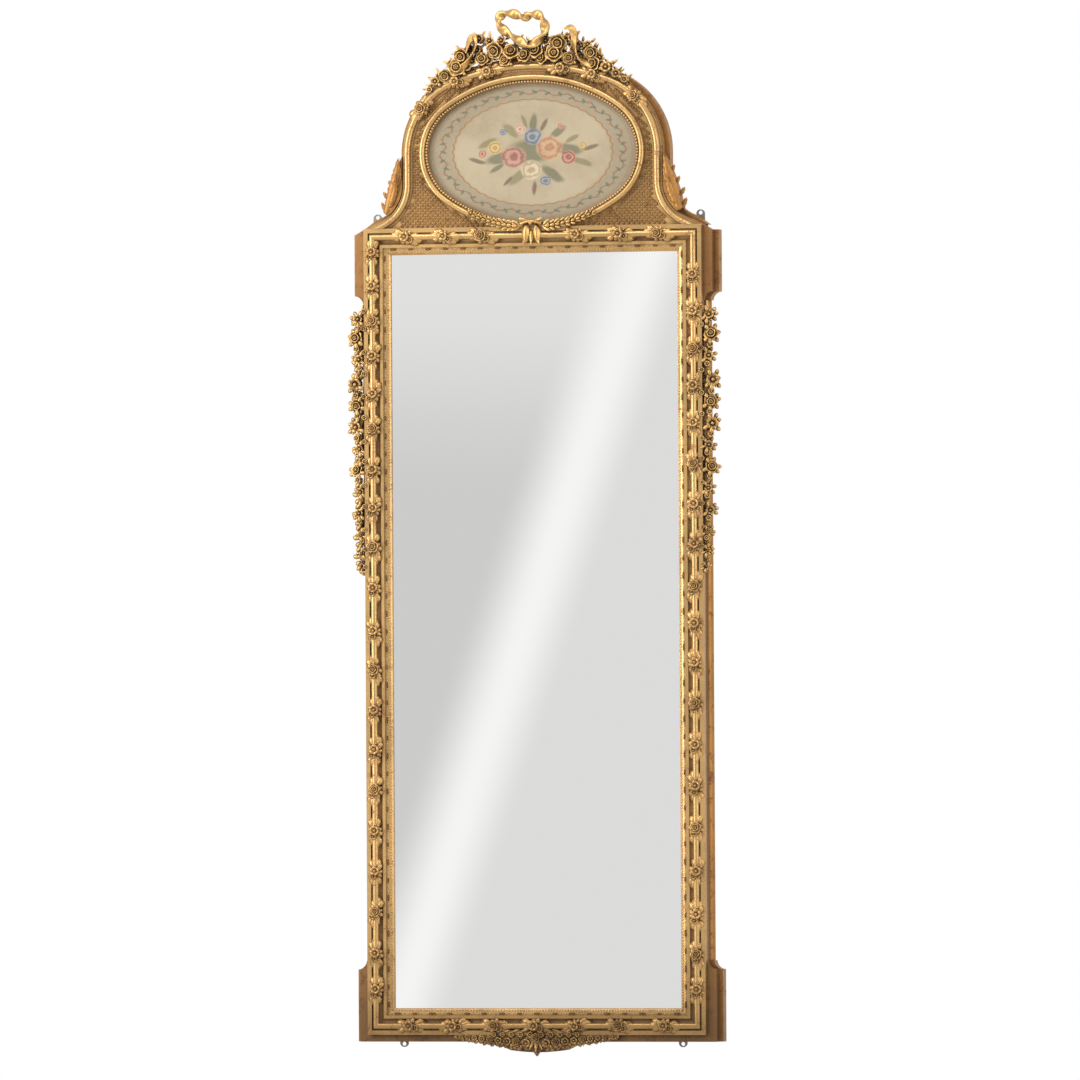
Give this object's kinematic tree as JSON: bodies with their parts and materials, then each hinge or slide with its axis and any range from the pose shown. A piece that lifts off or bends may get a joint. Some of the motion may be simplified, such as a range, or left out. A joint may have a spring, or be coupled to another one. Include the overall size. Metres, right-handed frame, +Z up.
{
  "type": "trumeau mirror",
  "caption": "Tall carved and gilded trumeau mirror for a wall: an upright mirror in a reeded frame under an arched crest with a painted oval, a ribbon bow and flowers.",
  "frame": {"origin": "on the wall plane at the back of the frame, on its centre line, at the bottom edge of the base board", "axes": "+X to the right of a person facing the mirror, +Z up, +Y into the wall, so the mirror faces -Y"},
  "size_m": [0.8966, 0.0863, 2.4103],
  "materials": {
    "carcass_wood": "dry, unfinished, darkened with age",
    "case_gilding": "carved wood, thin satin gilding over a red-brown ground",
    "ear_paint": "satin orange-brown bronzed gilding on wood",
    "foot_paint": "satin red-brown bronzed gilding on wood",
    "gilding": "water gilding on moulded wood, satin, worn on the edges",
    "carved_gilding": "gilding on carved wood, satin, umber in the hollows",
    "mirror_plate": "polished, silvered at the back",
    "painted_canvas": "oil paint on canvas, satin",
    "steel": "dull, hand finished"
  },
  "bodies": {
    "root": {"left_stile": "carcass_wood", "right_stile": "carcass_wood", "bottom_rail": "carcass_wood", "middle_rail": "carcass_wood", "glass_blocks": "carcass_wood", "mirror_backboard_1": "carcass_wood", "mirror_backboard_2": "carcass_wood", "mirror_backboard_3": "carcass_wood", "mirror_backboard_4": "carcass_wood", "canvas_strainer": "carcass_wood", "panel_backboard": "carcass_wood", "left_ear_case": "case_gilding", "right_ear_case": "case_gilding", "left_foot_case": "case_gilding", "right_foot_case": "case_gilding", "left_side_torus": "case_gilding", "right_side_torus": "case_gilding", "arch_cornice": "case_gilding", "left_ear": "ear_paint", "right_ear": "ear_paint", "left_foot": "foot_paint", "right_foot": "foot_paint", "base_board": "foot_paint", "apron": "foot_paint", "left_reeded_moulding": "gilding", "right_reeded_moulding": "gilding", "bottom_reeded_moulding": "gilding", "top_reeded_moulding": "gilding", "left_sight_slip": "gilding", "right_sight_slip": "gilding", "bottom_sight_slip": "gilding", "top_sight_slip": "gilding", "left_arch_reed": "gilding", "right_arch_reed": "gilding", "left_spandrel_ground": "gilding", "right_spandrel_ground": "gilding", "oval_moulding": "gilding", "crest_board": "gilding", "left_crest_leaf": "carved_gilding", "right_crest_leaf": "carved_gilding", "oval_clasp": "carved_gilding", "left_laurel": "carved_gilding", "right_laurel": "carved_gilding", "crest_bow": "carved_gilding", "crest_flowers": "carved_gilding", "left_crest_spray": "carved_gilding", "right_crest_spray": "carved_gilding", "left_garland": "carved_gilding", "right_garland": "carved_gilding", "apron_carving": "carved_gilding", "mirror_glass": "mirror_plate", "painted_canvas": "painted_canvas", "upper_left_wall_plate": "steel", "upper_right_wall_plate": "steel", "lower_left_wall_plate": "steel", "lower_right_wall_plate": "steel", "wall_plate_screws": "steel", "backboard_screws": "steel"}
  },
  "joints": []
}
